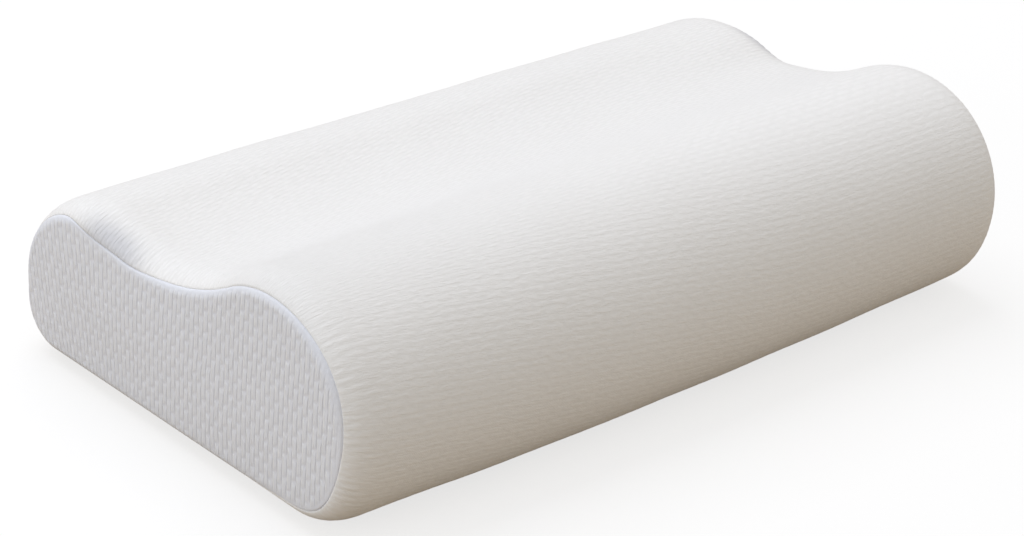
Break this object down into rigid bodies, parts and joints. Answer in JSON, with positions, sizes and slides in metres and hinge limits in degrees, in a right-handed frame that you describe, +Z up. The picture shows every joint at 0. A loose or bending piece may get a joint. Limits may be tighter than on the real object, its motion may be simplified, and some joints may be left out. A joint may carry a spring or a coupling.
{
  "type": "bed pillow",
  "caption": "Contour bed pillow with a high and a low lobe, foam core, inner liner and a zipped jacquard knit cover.",
  "frame": {"origin": "on the surface that the pillow lies on, under the middle of its overall box", "axes": "+X along the pillow, +Y from the high front lobe to the low back lobe with the zip, +Z up"},
  "size_m": [0.5007, 0.2971, 0.1285],
  "materials": {
    "cover_knit": "cream double jacquard knit with small raised droplets, matte",
    "end_knit": "cool white double jacquard knit with small raised droplets, matte",
    "liner_tricot": "plain thin white tricot",
    "memory_foam": "moulded open-cell viscoelastic foam, pale cream",
    "sewing_thread": "spun polyester thread, off-white",
    "zip_tape": "woven polyester tape, off-white",
    "zip_coil": "polyester monofilament, off-white, satin",
    "zip_metal": "die-cast zinc with off-white enamel",
    "label_satin": "white polyester satin, blank"
  },
  "bodies": {
    "pillow": {"foam_core": "memory_foam", "liner_wrap": "liner_tricot", "liner_left_end": "liner_tricot", "liner_right_end": "liner_tricot", "liner_left_seam": "sewing_thread", "liner_right_seam": "sewing_thread", "cover_wrap": "cover_knit", "cover_left_end": "end_knit", "cover_right_end": "end_knit", "cover_left_seam": "sewing_thread", "cover_right_seam": "sewing_thread", "care_label": "label_satin", "zip_upper_tape": "zip_tape", "zip_lower_tape": "zip_tape", "zip_upper_coil": "zip_coil", "zip_lower_coil": "zip_coil", "zip_upper_stitch": "sewing_thread", "zip_lower_stitch": "sewing_thread", "zip_top_stops": "zip_metal", "zip_bottom_stop": "zip_metal"},
    "slider": {"zip_slider": "zip_metal"},
    "pull_tab": {"zip_pull_tab": "zip_metal"}
  },
  "joints": [
    {"name": "slider_travel", "type": "slide", "parent": "pillow", "child": "slider", "axis": [1, 0, 0], "range_m": [0, 0.4019]},
    {"name": "pull_tab_flip", "type": "hinge", "parent": "slider", "child": "pull_tab", "pos_m": [-0.20095, 0.14675, 0.0375], "axis": [0, 0, 1], "range_deg": [0, 180]}
  ]
}
